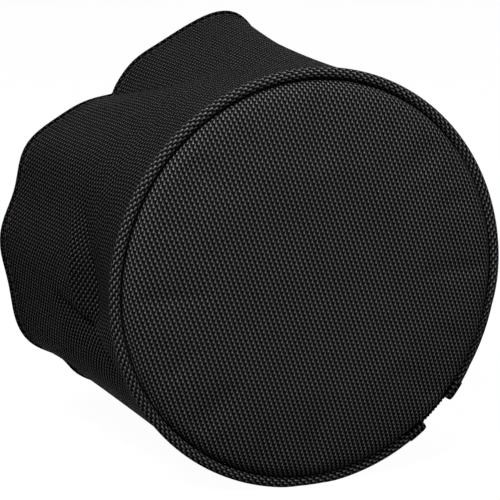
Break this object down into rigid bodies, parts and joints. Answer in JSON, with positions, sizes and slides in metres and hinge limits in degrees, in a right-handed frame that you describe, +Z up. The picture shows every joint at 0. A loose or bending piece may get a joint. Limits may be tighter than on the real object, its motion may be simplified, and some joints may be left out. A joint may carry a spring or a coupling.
{
  "type": "soft lens cap",
  "caption": "Padded round slip-on cap for a large lens hood, with a floppy lined cloth skirt that is slit and closed by a hook-and-loop tab.",
  "frame": {"origin": "middle of the front's inside face, where the rim of the hood seats", "axes": "+Y along the cap's axis towards the mouth, +Z up as the cap lies on its side, +X to the side that holds the slit"},
  "size_m": [0.1646, 0.1045, 0.1643],
  "materials": {
    "panel_cloth": "coarse plain-woven nylon with glints on its yarns",
    "skirt_cloth": "coarse plain-woven nylon with glints on its yarns",
    "lining": "smooth brushed knit",
    "foam": "closed foam, hidden",
    "board": "plain board, hidden",
    "tape": "ribbed binding tape",
    "webbing": "flat ribbed webbing",
    "hooks": "rows of small moulded hooks",
    "loops": "soft napped loops"
  },
  "bodies": {
    "cap": {"front_panel": "panel_cloth", "front_foam": "foam", "front_stiffener": "board", "front_lining": "lining", "skirt": "skirt_cloth", "skirt_lining": "lining", "seam_tape": "tape", "mouth_binding": "skirt_cloth", "slit_binding_upper": "skirt_cloth", "slit_binding_lower": "skirt_cloth", "strap_base": "webbing", "loop_patch": "loops"},
    "closure_tab": {"strap_tab": "webbing", "hook_patch": "hooks"}
  },
  "joints": [
    {"name": "closure_tab_hinge", "type": "hinge", "parent": "cap", "child": "closure_tab", "pos_m": [0.06462, 0.0711, -0.04579], "axis": [0, -1, 0], "range_deg": [0, 150]}
  ]
}
